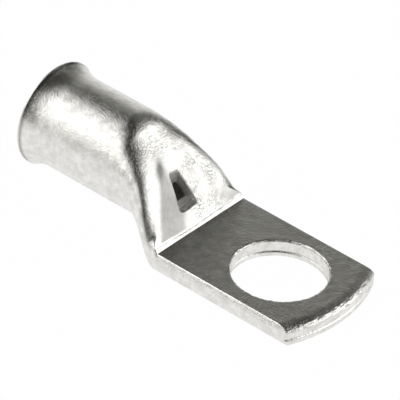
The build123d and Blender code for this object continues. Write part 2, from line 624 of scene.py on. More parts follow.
    def facet_edges(self, back: np.ndarray) -> tuple:
        """Sides of the near facet: its outer edge and the crease.

        Args:
            back: Distances behind the stud hole.

        Returns:
            The places across of the edge and of the crease.
        """
        sizes = self.sizes
        edge = sizes.facet_apex_across - sizes.facet_spread * (sizes.facet_apex_back - back)
        bend = 1.0 - smooth(back, *CREASE_BEND)
        return edge, sizes.crease_across + sizes.crease_drift * bend

    def rubbed_and_shaded_share(self, points: np.ndarray) -> np.ndarray:
        """How smoothly the press has rubbed each point of the outside, and how much painted shade
        it gets there.

        Formula: smooth steps at the near facet's edge and at the crease, faded out at its apex,
        with bell-shaped spots on that edge near the apex and beyond the sight hole, a smooth
        step in the ramp's far corner and a narrow band along the mouth's edge.

        Args:
            points: Points of the outside skin, in millimetres.

        Returns:
            The share at each point, 0 where the plating is matt and has no painted shade.
        """
        back, across, height = -points[..., 0], points[..., 1], points[..., 2]
        edge, crease = self.facet_edges(back)
        facet = smooth(across, edge - FACET_SOFTNESS, edge + FACET_SOFTNESS)
        facet = facet * (1.0 - smooth(across, crease - CREASE_SOFTNESS, crease + CREASE_SOFTNESS))
        facet = facet * (1.0 - smooth(back, *FACET_REAR)) * smooth(back, *FACET_FOOT)
        spot = bell(across - edge, SPOT_WIDTH) * bell(back - SPOT_BACK, SPOT_LENGTH)
        patch = bell(across - PATCH_ACROSS, PATCH_SIZE) * bell(back - PATCH_BACK, PATCH_SIZE)
        corner = smooth(across, *CORNER_ACROSS) * (1.0 - smooth(back, *CORNER_BACK))
        from_line = np.abs(self.sizes.mouth_back - RIM_LINE - back)
        rim = 1.0 - np.clip(from_line / RIM_WIDTH, 0.0, 1.0)
        rub_and_shade = (
            FACET_LEVEL * facet
            + SPOT_LEVEL * spot
            + PATCH_LEVEL * patch
            + CORNER_LEVEL * corner
            + RIM_LEVEL * rim
        )
        return np.minimum(rub_and_shade, 1.0) * (height > self.sizes.palm_thickness)

    def belled(self, across: np.ndarray, height: np.ndarray, back: np.ndarray) -> np.ndarray:
        """Spreads the mouth.

        Formula: past the flare's start the radius grows along a circle that is tangent there.

        Args:
            across: Places across.
            height: Heights.
            back: Distances behind the stud hole.

        Returns:
            The points.
        """
        sizes = self.sizes
        arc = (sizes.flare_length ** 2 + sizes.flare_growth ** 2) / (2.0 * sizes.flare_growth)
        reach = np.clip(back - (sizes.mouth_back - sizes.flare_length), 0.0, sizes.flare_length)
        growth = arc - np.sqrt(arc ** 2 - reach ** 2)
        factor = 1.0 + growth / (sizes.barrel_radius - self.inset)
        axis = sizes.barrel_axis_height
        across, height = across * factor, axis + (height - axis) * factor
        return np.stack([-back + 0.0 * across, across, height], axis=-1)

    def crown_points(self, back: np.ndarray, share: np.ndarray) -> np.ndarray:
        """Points on the crown, between its ridges.

        Args:
            back: Distances behind the stud hole.
            share: Places across, as shares of the flat's half width.

        Returns:
            The points.
        """
        section = self.section(back)
        across, height = section.crown(share)
        height = height - self.hollow(back, across, section.top_flat)
        return np.stack([-back, across, height], axis=-1)


SHARPEST_CORNER = 0.2
HUMP_RISE = (0.08, 0.45)
HUMP_FALL = (0.7, 1.0)
ROUND_UNTIL = 0.45
ROUNDER_RISE = (0.0, 0.3)
ROUNDER_FALL = (0.88, 1.0)
HOLLOW_REAR = (16.2, 17.6)
HOLLOW_FOOT = (11.25, 13.0)
CREASE_BEND = (11.3, 12.6)
# Where the ramp's outside is rubbed smoother and painted darker as shade, and how strongly: the
# near facet, a painted shadow spot at its apex, a patch beyond the sight hole, the far corner and a
# band along the mouth.
FACET_SOFTNESS = 0.6
CREASE_SOFTNESS = 1.1
FACET_REAR = (15.6, 17.2)
FACET_FOOT = (11.3, 11.5)
FACET_LEVEL = 0.8
SPOT_LEVEL = 0.62
SPOT_BACK = 16.0
SPOT_WIDTH = 0.68
SPOT_LENGTH = 0.9
PATCH_LEVEL = 0.38
PATCH_ACROSS = 2.0
PATCH_BACK = 14.4
PATCH_SIZE = 0.85
RIM_LEVEL = 0.7
RIM_LINE = 0.42
RIM_WIDTH = 0.2
CORNER_LEVEL = 0.72
CORNER_ACROSS = (2.6, 5.6)
CORNER_BACK = (11.6, 13.6)
STEEPEST_SINE = 0.6


@dataclass(frozen=True)
class SightHole:
    """Tapered hole through the upper wall, with its rims broken."""

    sizes: LugSizes
    outer_margin: float = 0.35
    rings: int = 7
    rim_steps: int = 5
    wall_steps: int = 12

    @property
    def centre_back(self) -> float:
        """Distance of the hole's middle behind the stud hole."""
        return (self.sizes.sight_hole_front_back + self.sizes.sight_hole_rear_back) / 2.0

    @property
    def length(self) -> float:
        """Length of the hole along the lug."""
        return self.sizes.sight_hole_rear_back - self.sizes.sight_hole_front_back

    @property
    def narrowing(self) -> float:
        """How much narrower the hole is at its rear than at its front."""
        return self.sizes.sight_hole_front_width - self.sizes.sight_hole_rear_width

    def outline(self, angles: np.ndarray, grown: float = 0.0) -> tuple:
        """Rounded four-sided outline, met by rays from the hole's middle.

        Formula: a ray's length to the outline is the least of its lengths to the four straight
        sides, taken as a smooth least so that the corners are round.

        Args:
            angles: Directions, from the way to the palm towards +Y.
            grown: How far outside the hole's own outline.

        Returns:
            Distances behind the stud hole and places across.
        """
        sizes, length = self.sizes, self.length
        taper = math.atan(self.narrowing / 2.0 / length)
        half_way = (sizes.sight_hole_front_width + sizes.sight_hole_rear_width) / 4.0
        point = math.atan(sizes.sight_hole_point / (sizes.sight_hole_front_width / 2.0))
        quarter = math.pi / 2.0
        facing = np.stack([
            np.cos(angles - point),
            np.cos(angles + point),
            -np.cos(angles),
            np.cos(angles - quarter - taper),
            np.cos(angles + quarter + taper),
        ])
        front = (length / 2.0 + sizes.sight_hole_point) * math.cos(point)
        side = half_way * math.cos(taper)
        distance = np.array([front, front, length / 2.0, side, side]) + grown
        inverse = np.clip(facing, 0.0, None) / distance[:, None]
        sharpness = side / sizes.sight_hole_corner * CORNER_SHARPNESS
        reach = (inverse ** sharpness).sum(axis=0) ** (-1.0 / sharpness)
        across = sizes.sight_hole_offset + reach * np.sin(angles)
        return self.centre_back - reach * np.cos(angles), across

    def width(self, back: np.ndarray) -> np.ndarray:
        """Width of the hole at the given distances."""
        share = (self.sizes.sight_hole_rear_back - back) / self.length
        return self.sizes.sight_hole_rear_width + share * self.narrowing

    def edge(self, angles: np.ndarray, grown: float, down: float) -> tuple:
        """Plan places of the hole's edge, which is shorter inside by the ledge at its front.

        Formula: inside, the distances from the hole's rear shrink by the ledge's share of its
        length, and the widths follow the taper.

        Args:
            angles: Directions, from the way to the palm towards +Y.
            grown: How far outside the hole's own outline.
            down: 1 for the outside skin, -1 for the inside one.

        Returns:
            Distances behind the stud hole and places across.
        """
        sizes = self.sizes
        back, across = self.outline(angles, grown)
        if down > 0.0:
            return back, across
        rear = sizes.sight_hole_rear_back
        left = 1.0 - sizes.sight_hole_ledge / self.length
        moved = rear - (rear - back) * left
        width_left = self.width(moved) / self.width(back)
        return moved, sizes.sight_hole_offset + (across - sizes.sight_hole_offset) * width_left

    def border(self, backs: np.ndarray, shares: np.ndarray) -> tuple:
        """Edge of the window in the skin, once round.

        Args:
            backs: The window's rows.
            shares: The window's columns.

        Returns:
            Distances behind the stud hole and shares across, in order.
        """
        back = np.concatenate([
            np.full(len(shares) - 1, backs[0]),
            backs[:-1],
            np.full(len(shares) - 1, backs[-1]),
            backs[::-1][:-1],
        ])
        share = np.concatenate([
            shares[:-1],
            np.full(len(backs) - 1, shares[-1]),
            shares[::-1][:-1],
            np.full(len(backs) - 1, shares[0]),
        ])
        return back, share

    def collar(
        self, skin: TubeWall, backs: np.ndarray, shares: np.ndarray, down: float
    ) -> np.ndarray:
        """Surface from the window's edge to the hole, rolled over at the rim.

        Formula: between edge and rim the points are shared out evenly on the skin. At the rim
        they follow a quarter circle, out by r (1 - sin a) and into the metal by r (1 - cos a).

        Args:
            skin: The skin that the hole pierces.
            backs: The window's rows.
            shares: The window's columns.
            down: 1 where the metal is below the skin, -1 where it is above.

        Returns:
            Points, from the window's edge to the end of the rolled rim.
        """
        back, share = self.border(backs, shares)
        start = skin.crown_points(back, share)
        angles = self.angles(start)
        rolls = np.linspace(0.0, math.pi / 2.0, self.rim_steps + 1)
        rim = self.sizes.sight_hole_rim
        rows = []
        edge_back, edge_across = self.edge(angles, rim, down)
        for step in np.linspace(0.0, 1.0, self.rings)[:-1]:
            x = start[:, 0] * (1.0 - step) - edge_back * step
            y = start[:, 1] * (1.0 - step) + edge_across * step
            rows.append(self.on_skin(skin, -x, y))
        for roll in rolls:
            ring_back, ring_across = self.edge(angles, rim * (1.0 - math.sin(roll)), down)
            ring = self.on_skin(skin, ring_back, ring_across)
            ring[:, 2] -= down * rim * (1.0 - math.cos(roll))
            rows.append(ring)
        return np.stack(rows)

    def angles(self, points: np.ndarray) -> np.ndarray:
        """Directions of points from the hole's middle, from the way to the palm towards +Y."""
        across = points[:, 1] - self.sizes.sight_hole_offset
        return np.arctan2(across, points[:, 0] + self.centre_back)

    def on_skin(self, skin: TubeWall, back: np.ndarray, across: np.ndarray) -> np.ndarray:
        """Points of the skin at the given plan places."""
        section = skin.section(back)
        return skin.crown_points(back, across / section.top_flat)

    def wall_dull_and_shade(self, wall: np.ndarray) -> np.ndarray:
        """Painted shade and dullness of the wall: painted shade deeper down, with painted light at
        the rear and on the ledge.

        Formula: a share of the square of the way down, smaller where the wall faces the palm and
        where it starts at the hole's front.

        Args:
            wall: Points of the wall, from the upper rim to the lower one.

        Returns:
            The share of painted shade and dullness at each point.
        """
        down = np.linspace(0.0, 1.0, self.wall_steps + 1)[:, None] ** 2
        rear = smooth(-wall[..., 0] - self.centre_back, *WALL_REAR)
        start = -wall[0, :, 0] - self.sizes.sight_hole_front_back
        ledge = 1.0 - smooth(start, *LEDGE_START)
        dark = WALL_PAINTED_SHADE * down * (1.0 - REAR_PAINTED_LIGHT * rear)
        return dark * (1.0 - LEDGE_PAINTED_LIGHT * ledge)

    def wall(self, upper: np.ndarray, lower: np.ndarray) -> np.ndarray:
        """Straight wall between the two rolled rims."""
        share = np.linspace(0.0, 1.0, self.wall_steps + 1)[:, None, None]
        return upper[None] * (1.0 - share) + lower[None] * share


CORNER_SHARPNESS = 3.0
# Painted shade down the sight hole's wall, with painted light at its rear and on the ledge.
WALL_REAR = (1.05, 1.2)
WALL_PAINTED_SHADE = 0.9
REAR_PAINTED_LIGHT = 0.85
LEDGE_START = (0.1, 0.35)
LEDGE_PAINTED_LIGHT = 0.6


@dataclass(frozen=True)
class PressedTube:
    """Barrel, bell mouth and pressed length, outside and inside, with the sight hole."""

    sizes: LugSizes
    spacing: Spacing
    barrel_step: float = 0.8
    flare_rows: int = 18
    shoulder_rows: int = 70
    foot_rows: int = 12
    riser_rows: int = 14
    groove_place: float = 0.82
    groove_width: float = 0.1
    groove_depth: float = 0.05
    lip_rows: int = 10
    cap_rows: int = 4
    dull_and_shaded_after: float = 9.0

    def build(self, board: MeshBoard) -> None:
        """Adds the tube's surfaces.

        Args:
            board: Board that gathers the mesh.
        """
        sizes, spacing = self.sizes, self.spacing
        outside = TubeWall(sizes, spacing)
        inside = TubeWall(sizes, spacing, inset=sizes.wall)
        hole = SightHole(sizes)
        first = sizes.sight_hole_front_back - hole.outer_margin
        last = sizes.sight_hole_rear_back + hole.outer_margin
        inner_first = (sizes.closed_back + sizes.sight_hole_front_back) / 2.0
        outer_backs, outer_rows = self.places(sizes.foot_back, first, last)
        inner_backs, inner_rows = self.places(sizes.closed_back, inner_first, last)
        outer = self.loops(outside, outer_backs)
        inner = self.loops(inside, inner_backs)
        middle = spacing.crown
        columns = (middle - spacing.window, middle + spacing.window)
        riser = self.riser(outside, outer[0])
        board.add(riser, closed=True)
        # Share of rubbing and painted shade on the outside skin.
        rub_and_shade = outside.rubbed_and_shaded_share(outer)
        board.add(outer, closed=True, window=outer_rows + columns, rubbed_and_shaded=rub_and_shade)
        board.add(self.lip(outer[-1], inner[-1]), closed=True)
        # Painted shade and dullness of the inside skin.
        depth = self.inner_dull_and_shade(inner)
        board.add(inner, closed=True, window=inner_rows + columns, depth=depth)
        board.add(self.cap(inner[0]), closed=True, depth=1.0)
        shares = spacing.crown_shares[columns[0]:columns[1] + 1]
        window = slice(outer_rows[0], outer_rows[1] + 1)
        inner_window = slice(inner_rows[0], inner_rows[1] + 1)
        upper = hole.collar(outside, outer_backs[window], shares, 1.0)
        lower = hole.collar(inside, inner_backs[inner_window], shares, -1.0)
        board.add(upper, closed=True, rubbed_and_shaded=outside.rubbed_and_shaded_share(upper))
        board.add(lower, closed=True, depth=1.0)
        # Sight hole's wall, with painted shade down it.
        wall = hole.wall(upper[-1], lower[-1])
        board.add(wall, closed=True, depth=hole.wall_dull_and_shade(wall))

    def inner_dull_and_shade(self, grid: np.ndarray) -> np.ndarray:
        """Painted shade and dullness of the inside: painted shade deeper away from the mouth, less
        of it as painted light below the sight hole.

        Formula: a smooth step from the mouth inwards, less a share that fades out behind the
        sight hole and towards the roof.

        Args:
            grid: Points of the inside skin.

        Returns:
            The share of painted shade and dullness at each point.
        """
        back, height = -grid[..., 0], grid[..., 2]
        depth = smooth(self.sizes.mouth_back - back, 0.0, self.dull_and_shaded_after)
        below = (1.0 - smooth(back, *FLOOR_BACK)) * (1.0 - smooth(height, *FLOOR_HEIGHT))
        return depth * (1.0 - FLOOR_PAINTED_LIGHT * below)

    def places(self, start: float, first: float, last: float) -> tuple:
        """Distances behind the stud hole at which the loops stand.

        Args:
            start: Where the skin starts, next to the palm.
            first: Front of the window round the sight hole.
            last: Rear of that window.

        Returns:
            The distances, and the first and last row of the window.
        """
        sizes = self.sizes
        flare = sizes.mouth_back - sizes.flare_length
        straight = int((flare - sizes.transition_back) / self.barrel_step)
        backs = joined(
            np.linspace(start, first, self.foot_rows + 1),
            np.linspace(first, last, self.spacing.window_rows + 1),
            np.linspace(last, sizes.transition_back, self.shoulder_rows + 1),
            np.linspace(sizes.transition_back, flare, straight + 1),
            np.linspace(flare, sizes.mouth_back - sizes.lip_rounding, self.flare_rows + 1),
        )
        return backs, (self.foot_rows, self.foot_rows + self.spacing.window_rows)

    def loops(self, skin: TubeWall, backs: np.ndarray) -> np.ndarray:
        """Loops of a skin at the given distances."""
        column = backs[:, None]
        return skin.rings(skin.section(column), column)

    def riser(self, skin: TubeWall, foot: np.ndarray) -> np.ndarray:
        """Steep little step between the ramp's foot and the palm.

        Formula: straight lines between the foot's loop and the palm's loop, with a bell-shaped
        groove just below the foot.

        Args:
            skin: The outside skin.
            foot: Loop at the ramp's foot.

        Returns:
            Points, from the palm's loop to the foot's.
        """
        palm = palm_loop(self.sizes, skin)
        share = np.linspace(0.0, 1.0, self.riser_rows + 1)[:, None, None]
        grid = palm[None] * (1.0 - share) + foot[None] * share
        groove = bell(share[..., 0] - self.groove_place, self.groove_width)
        groove[-1] = 0.0
        crown = foot[:, 2] > self.sizes.palm_thickness
        grid[..., 2] -= self.groove_depth * groove * crown
        return grid

    def lip(self, outer: np.ndarray, inner: np.ndarray) -> np.ndarray:
        """Rounded end of the tube at the mouth.

        Formula: between the outer and inner loops, a half superellipse that stands out by the
        lip's rounding.

        Args:
            outer: Last loop outside.
            inner: Last loop inside.

        Returns:
            Points, from the outer loop to the inner one.
        """
        turn = np.linspace(0.0, math.pi, self.lip_rows + 1)[:, None]
        across = np.sign(np.cos(turn)) * np.abs(np.cos(turn)) ** LIP_SQUARENESS
        out = np.abs(np.sin(turn)) ** LIP_SQUARENESS
        middle, half = (outer + inner) / 2.0, (outer - inner) / 2.0
        grid = middle[None] + across[:, :, None] * half[None]
        grid[:, :, 0] -= out * self.sizes.lip_rounding
        return grid

    def cap(self, loop: np.ndarray) -> np.ndarray:
        """Closed end of the hollow: the last loop drawn in to its middle."""
        share = np.linspace(0.0, 1.0, self.cap_rows + 1)[:, None, None]
        return loop[None] * (1.0 - share) + loop.mean(axis=0)[None, None] * share


LIP_SQUARENESS = 0.6
# Painted light on the inside's floor below the sight hole: where it lies and how much painted shade
# it takes away.
FLOOR_BACK = (15.2, 16.8)
FLOOR_HEIGHT = (2.4, 3.8)
FLOOR_PAINTED_LIGHT = 0.9


def palm_section(sizes: LugSizes) -> Section:
    """Section of the palm: flat above and below, folded sides bulging out."""
    one = np.ones((1, 1))
    return Section(
        top=one * sizes.palm_thickness,
        bottom=0.0 * one,
        side=one * sizes.palm_half,
        top_flat=one * sizes.palm_flat,
        bottom_flat=one * sizes.palm_flat,
        lift=0.0 * one,
        fuller=0.0 * one,
        top_slope=0.0 * one,
        bottom_slope=0.0 * one,
    )


def palm_loop(sizes: LugSizes, skin: TubeWall) -> np.ndarray:
    """Loop across the lug at the press line, where the palm starts."""
    return skin.rings(palm_section(sizes), np.full((1, 1), sizes.palm_back))[0]


@dataclass(frozen=True)
class Palm:
    """Flat end with its stud hole, folded sides and arc-shaped tip."""

    sizes: LugSizes
    spacing: Spacing
    rim_steps: int = 6
    wall_steps: int = 40

    def build(self, board: MeshBoard) -> None:
        """Adds the palm's surfaces.

        Args:
            board: Board that gathers the mesh.
        """
        sizes = self.sizes
        across, heights = self.levels()
        strip = with_height(self.outlines(across, self.set_back(heights)), heights)
        depth = sizes.palm_thickness - heights
        worn_rows = smooth(depth, 0.0, sizes.tip_top_rounding / 2.0)
        worn_rows = worn_rows * (1.0 - smooth(depth, sizes.tip_top_rounding, WORN_DEPTH))
        strip = self.worn(strip, worn_rows)
        board.add(strip)
        line = self.press_line()
        edges = {
            Sheet.TOP: np.concatenate([strip[0], line[1:-1] + (0.0, 0.0, sizes.palm_thickness)]),
            Sheet.UNDERSIDE: np.concatenate([strip[-1], line[1:-1]]),
        }
        angles = np.arctan2(edges[Sheet.TOP][:, 1], edges[Sheet.TOP][:, 0])
        wall = self.hole_wall(angles)
        rim_rows = np.clip(np.arange(len(wall)), 0, self.rim_steps + 1)
        wall = self.worn(wall, np.sin(math.pi * rim_rows / (self.rim_steps + 1)))
        board.add(wall, closed=True)
        board.add(self.sheet(wall[0], edges[Sheet.TOP]), closed=True)
        board.add(self.sheet(wall[-1], edges[Sheet.UNDERSIDE]), closed=True)

    def worn(self, grid: np.ndarray, rows: np.ndarray) -> np.ndarray:
        """Grid with uneven heights, as the press and the plating leave an edge.

        Formula: a seeded normal deviate for each point, held within the largest one, times the
        row's share, with the first and last column left as they are.

        Args:
            grid: Points, rows by columns by 3.
            rows: Share of the unevenness that each row gets.

        Returns:
            The new points.
        """
        deviates = np.random.default_rng(EDGE_SEED).normal(size=grid.shape[:2])
        deviates = np.clip(deviates, -LARGEST_DEVIATE, LARGEST_DEVIATE)
        deviates[:, [0, -1]] = 0.0
        shifted = grid.copy()
        shifted[..., 2] += EDGE_UNEVENNESS * rows[:, None] * deviates
        return shifted

    def levels(self) -> tuple:
        """Half widths and heights down the folded side, those of the press line's loop."""
        section = palm_section(self.sizes)
        upper = section.upper(np.linspace(0.0, 1.0, self.spacing.corner_upper + 1))
        lower = section.lower(np.linspace(0.0, 1.0, self.spacing.corner_lower + 1))
        across = np.concatenate([upper[0][0], lower[0][0][1:]])
        heights = np.concatenate([upper[1][0], lower[1][0][1:]])
        return across, heights

    def set_back(self, heights: np.ndarray) -> np.ndarray:
        """How far the tip's outline stands back at each height.

        Formula: w (1 - sqrt(1 - (d / r) squared)) within r of the upper face, d being the depth
        into the rounding and w its width, the same with w = r at the lower face, and a bell curve
        at the seam.

        Args:
            heights: Heights above the underside.

        Returns:
            The set-back at each.
        """
        sizes = self.sizes
        top = sizes.tip_top_rounding
        bottom = sizes.tip_bottom_rounding
        above = np.clip(heights - (sizes.palm_thickness - top), 0.0, top)
        below = np.clip(bottom - heights, 0.0, bottom)
        rounded = sizes.tip_top_spread * (1.0 - np.sqrt(1.0 - (above / top) ** 2))
        rounded = rounded + bottom - np.sqrt(bottom ** 2 - below ** 2)
        return rounded + sizes.seam_depth * self.seam(heights)

    def seam(self, heights: np.ndarray) -> np.ndarray:
        """Bell curve round the seam's height, squared, 1 at its middle."""
        return bell(heights - self.sizes.seam_height, self.sizes.seam_gap) ** 2

    def outlines(self, half_width: np.ndarray, set_back: np.ndarray) -> np.ndarray:
        """Outlines of the palm at several heights, without the press line.

        Formula: straight side, a small arc tangent to the side and to the tip's arc, the tip's
        arc, and the same again on the other side.

        Args:
            half_width: Half width at each height.
            set_back: Set-back of the tip at each height.

        Returns:
            Plan places, heights by points by 2.
        """
        sizes, spacing = self.sizes, self.spacing
        half = half_width[:, None]
        arc = sizes.tip_radius - set_back[:, None]
        small = sizes.tip_corner_rounding
        corner = sizes.tip_centre + np.sqrt((arc - small) ** 2 - (half - small) ** 2)
        turned = np.arctan2(half - small, corner - sizes.tip_centre)
        run = np.linspace(0.0, 1.0, spacing.side + 1)[None, :-1]
        bend = np.linspace(0.0, 1.0, spacing.corner + 1)[None, :-1]
        sweep = np.linspace(1.0, -1.0, spacing.tip + 1)[None]
        side_x = -sizes.palm_back + run * (corner + sizes.palm_back)
        side_y = half + 0.0 * run
        bend_angle = math.pi / 2.0 + bend * (turned - math.pi / 2.0)
        bend_x = corner + small * np.cos(bend_angle)
        bend_y = half - small + small * np.sin(bend_angle)
        tip_x = sizes.tip_centre + arc * np.cos(sweep * turned)
        tip_y = arc * np.sin(sweep * turned)
        x = np.concatenate([side_x, bend_x, tip_x, bend_x[:, ::-1], side_x[:, ::-1]], axis=1)
        y = np.concatenate([side_y, bend_y, tip_y, -bend_y[:, ::-1], -side_y[:, ::-1]], axis=1)
        return np.stack([x, y], axis=-1)

    def press_line(self) -> np.ndarray:
        """Places along the press line, from one side to the other, at height 0."""
        across = self.spacing.crown_shares * self.sizes.palm_flat
        return np.stack([np.full_like(across, -self.sizes.palm_back), across, 0.0 * across], axis=1)

    def hole_wall(self, angles: np.ndarray) -> np.ndarray:
        """Wall of the stud hole, with both rims broken.

        Formula: a circle at each height, larger by r (1 - cos a) at the rims and by a bell curve
        at the seam.

        Args:
            angles: Directions from the hole's middle.

        Returns:
            Points, from the upper rim to the lower one.
        """
        sizes = self.sizes
        rim = sizes.hole_rim_rounding
        roll = np.linspace(0.0, math.pi / 2.0, self.rim_steps + 1)
        sunk, wider = rim * (1.0 - np.cos(roll)), rim * (1.0 - np.sin(roll))
        down = np.linspace(rim, sizes.palm_thickness - rim, self.wall_steps + 1)
        depth = joined(sunk, down, sizes.palm_thickness - sunk[::-1])
        larger = joined(wider, 0.0 * down, wider[::-1])
        height = sizes.palm_thickness - depth
        radius = sizes.stud_hole_radius + larger + sizes.seam_depth * self.seam(height)
        circle = np.stack([np.cos(angles), np.sin(angles)], axis=-1)
        return with_height(radius[:, None, None] * circle[None], height)

    def sheet(self, rim: np.ndarray, edge: np.ndarray) -> np.ndarray:
        """Flat face between the hole's rim and the outline.

        Formula: straight lines from rim to outline, divided more finely near both ends.

        Args:
            rim: Points round the hole.
            edge: Points round the outline.

        Returns:
            Points, from the rim to the outline.
        """
        even = np.linspace(0.0, 1.0, self.spacing.radial + 1)
        share = (1.0 - np.cos(math.pi * even))[:, None, None] / 2.0
        return rim[None] * (1.0 - share) + edge[None] * share


EDGE_SEED = 7
EDGE_UNEVENNESS = 0.03
LARGEST_DEVIATE = 2.0
WORN_DEPTH = 1.2


@dataclass(frozen=True)
class Swatch:
    """A colour as linear red, green and blue."""

    red: float
    green: float
    blue: float

    @property
    def rgba(self) -> tuple:
        """The colour with full opacity."""
        return (self.red, self.green, self.blue, 1.0)


class NodeBoard:
    """Short calls for a material's or a world's nodes."""

    def __init__(self, tree: bpy.types.NodeTree) -> None:
        """Clears the tree.

        Args:
            tree: Node tree to fill.
        """
        self.tree = tree
        tree.nodes.clear()

    def add(self, kind: str, settings: dict | None = None, **inputs: object) -> bpy.types.Node:
        """Adds a node.

        Args:
            kind: Blender's name of the node type.
            settings: Values of the node's own properties.
            inputs: Socket names, with underscores for spaces, and their values or sources.

        Returns:
            The node.
        """
        node = self.tree.nodes.new(kind)
        for name, value in (settings or {}).items():
            setattr(node, name, value)
        for name, value in inputs.items():
            self.feed(node.inputs[name.replace("_", " ")], value)
        return node

    def feed(self, socket: bpy.types.NodeSocket, value: object) -> None:
        """Sets a socket's value, or links it to another socket."""
        if isinstance(value, bpy.types.NodeSocket):
            self.tree.links.new(value, socket)
        else:
            socket.default_value = value

    def fed(self, kind: str, settings: dict, *values: object) -> bpy.types.Node:
        """Adds a node and feeds its first sockets in their order.

        Args:
            kind: Blender's name of the node type.
            settings: Values of the node's own properties.
            values: Values or sources of the sockets.

        Returns:
            The node.
        """
        node = self.add(kind, settings)
        for socket, value in zip(node.inputs, values):
            self.feed(socket, value)
        return node

    def math(self, operation: str, first: object, second: object = 0.0) -> bpy.types.NodeSocket:
        """Result of a Math node."""
        return self.fed("ShaderNodeMath", {"operation": operation}, first, second).outputs[0]

    def spread(
        self, value: bpy.types.NodeSocket, low: float, high: float, start: float, end: float
    ) -> bpy.types.NodeSocket:
        """Value mapped from the range low to high onto start to end, held at the ends."""
        ends = (low, high, start, end)
        return self.fed("ShaderNodeMapRange", {"clamp": True}, value, *ends).outputs[0]

    def noise(self, place: bpy.types.NodeSocket, pattern: "Noise") -> bpy.types.NodeSocket:
        """Height of a noise pattern.

        Args:
            place: Object coordinates.
            pattern: The pattern.

        Returns:
            The height at each place, from 0 to 1.
        """
        node = self.add(
            "ShaderNodeTexNoise",
            Vector=place,
            Scale=pattern.per_metre,
            Detail=pattern.detail,
            Roughness=pattern.roughness,
        )
        return node.outputs["Fac"]

    def tinted(
        self, base: object, colour: Swatch, share: bpy.types.NodeSocket
    ) -> bpy.types.NodeSocket:
        """Colour mixed towards another one.

        Args:
            base: The colour so far, as a value or a source.
            colour: The colour to mix in.
            share: How much of it, from 0 to 1.

        Returns:
            The mixed colour.
        """
        mix = self.add("ShaderNodeMix", {"data_type": "RGBA"})
        for socket, value in zip(MIX_INPUTS, (share, base, colour.rgba)):
            self.feed(mix.inputs[socket], value)
        return mix.outputs[MIX_COLOUR]


MIX_INPUTS = (0, 6, 7)
MIX_COLOUR = 2


@dataclass(frozen=True)
class Noise:
    """Noise pattern: waves for each metre, layers of detail, and how strong the fine ones are."""

    per_metre: float
    detail: float
    roughness: float


